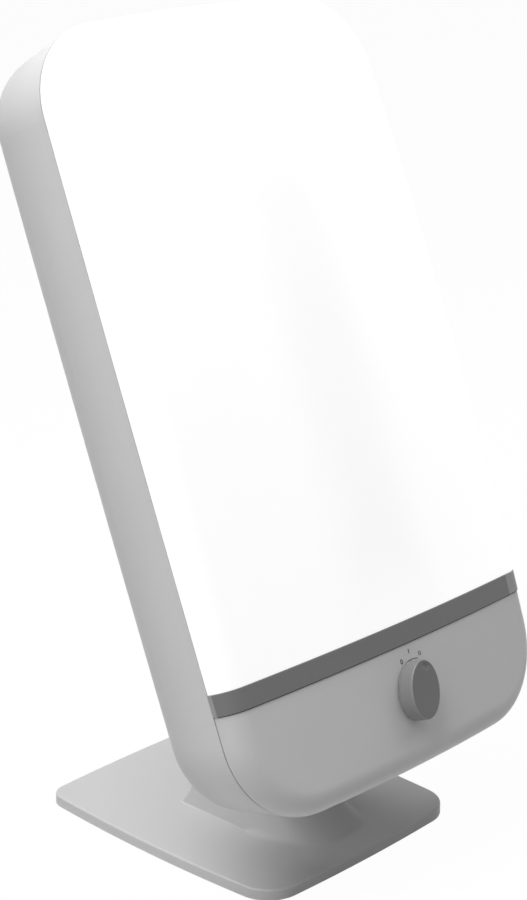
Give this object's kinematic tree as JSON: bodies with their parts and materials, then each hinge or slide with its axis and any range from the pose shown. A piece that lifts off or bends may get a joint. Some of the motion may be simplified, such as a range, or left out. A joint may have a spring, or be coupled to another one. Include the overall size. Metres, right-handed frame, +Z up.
{
  "type": "light therapy lamp",
  "caption": "Tall rounded light box with a lit opal front, a rotary knob below a dark trim bar, tilting on a short neck over a flat foot.",
  "frame": {"origin": "on the table under the middle of the foot, at the underside of the anti-slip pad", "axes": "+Z up, the lit front faces -Y and leans back towards +Y, +X is to the right when looking at the front"},
  "size_m": [0.2794, 0.261, 0.5287],
  "materials": {
    "light_plastic": "light grey moulded plastic, fine satin texture",
    "panel_plastic": "light grey moulded plastic, satin",
    "bar_metal": "dark anodised strip",
    "opal_plastic": "opal white, lit from behind",
    "dark_rubber": "matt rubber",
    "steel": "zinc-plated steel",
    "painted_steel": "grey painted steel",
    "iron": "plain weight plate",
    "reflector": "white coated sheet",
    "lamp_glass": "phosphor-coated glass",
    "white_plastic": "white heat-resistant plastic",
    "black_plastic": "black moulded plastic",
    "brass": "brass pins",
    "knob_silver": "silver satin",
    "knob_disc": "spun disc",
    "nylon": "plain nylon"
  },
  "bodies": {
    "stand": {"foot_shell": "light_plastic", "neck_shell": "light_plastic", "anti_slip_pad": "dark_rubber", "foot_cover": "black_plastic", "foot_screws": "steel", "weight_plate": "iron", "stand_bracket": "painted_steel", "arm_screws": "steel", "hinge_pin": "steel", "hinge_washers": "nylon", "hinge_caps": "light_plastic"},
    "head": {"head_bracket": "painted_steel", "head_bracket_screws": "steel", "backing_plate": "steel", "rear_casing": "light_plastic", "casing_screws": "steel", "seam_gasket": "dark_rubber", "front_frame": "white_plastic", "diffuser": "opal_plastic", "trim_bar": "bar_metal", "control_panel": "panel_plastic", "reflector_pan": "reflector", "lamp_tubes": "lamp_glass", "lamp_caps": "white_plastic", "lamp_pins": "brass", "lamp_holders": "white_plastic", "lamp_clips": "steel", "ballast_unit": "white_plastic", "ballast_screws": "steel", "terminal_block": "white_plastic", "mains_inlet": "black_plastic", "inlet_pins": "brass", "rotary_switch": "black_plastic", "switch_nut": "steel"},
    "knob": {"switch_shaft": "brass", "knob": "knob_silver", "knob_face": "knob_disc", "knob_pointer": "dark_rubber"}
  },
  "joints": [
    {"name": "head_tilt", "type": "hinge", "parent": "stand", "child": "head", "pos_m": [0, -0.02, 0.105], "axis": [1, 0, 0], "range_deg": [-12, 10]},
    {"name": "knob_turn", "type": "hinge", "parent": "head", "child": "knob", "pos_m": [0, -0.13888, 0.1279], "axis": [0, -0.9278, 0.373], "range_deg": [-22, 22]}
  ]
}
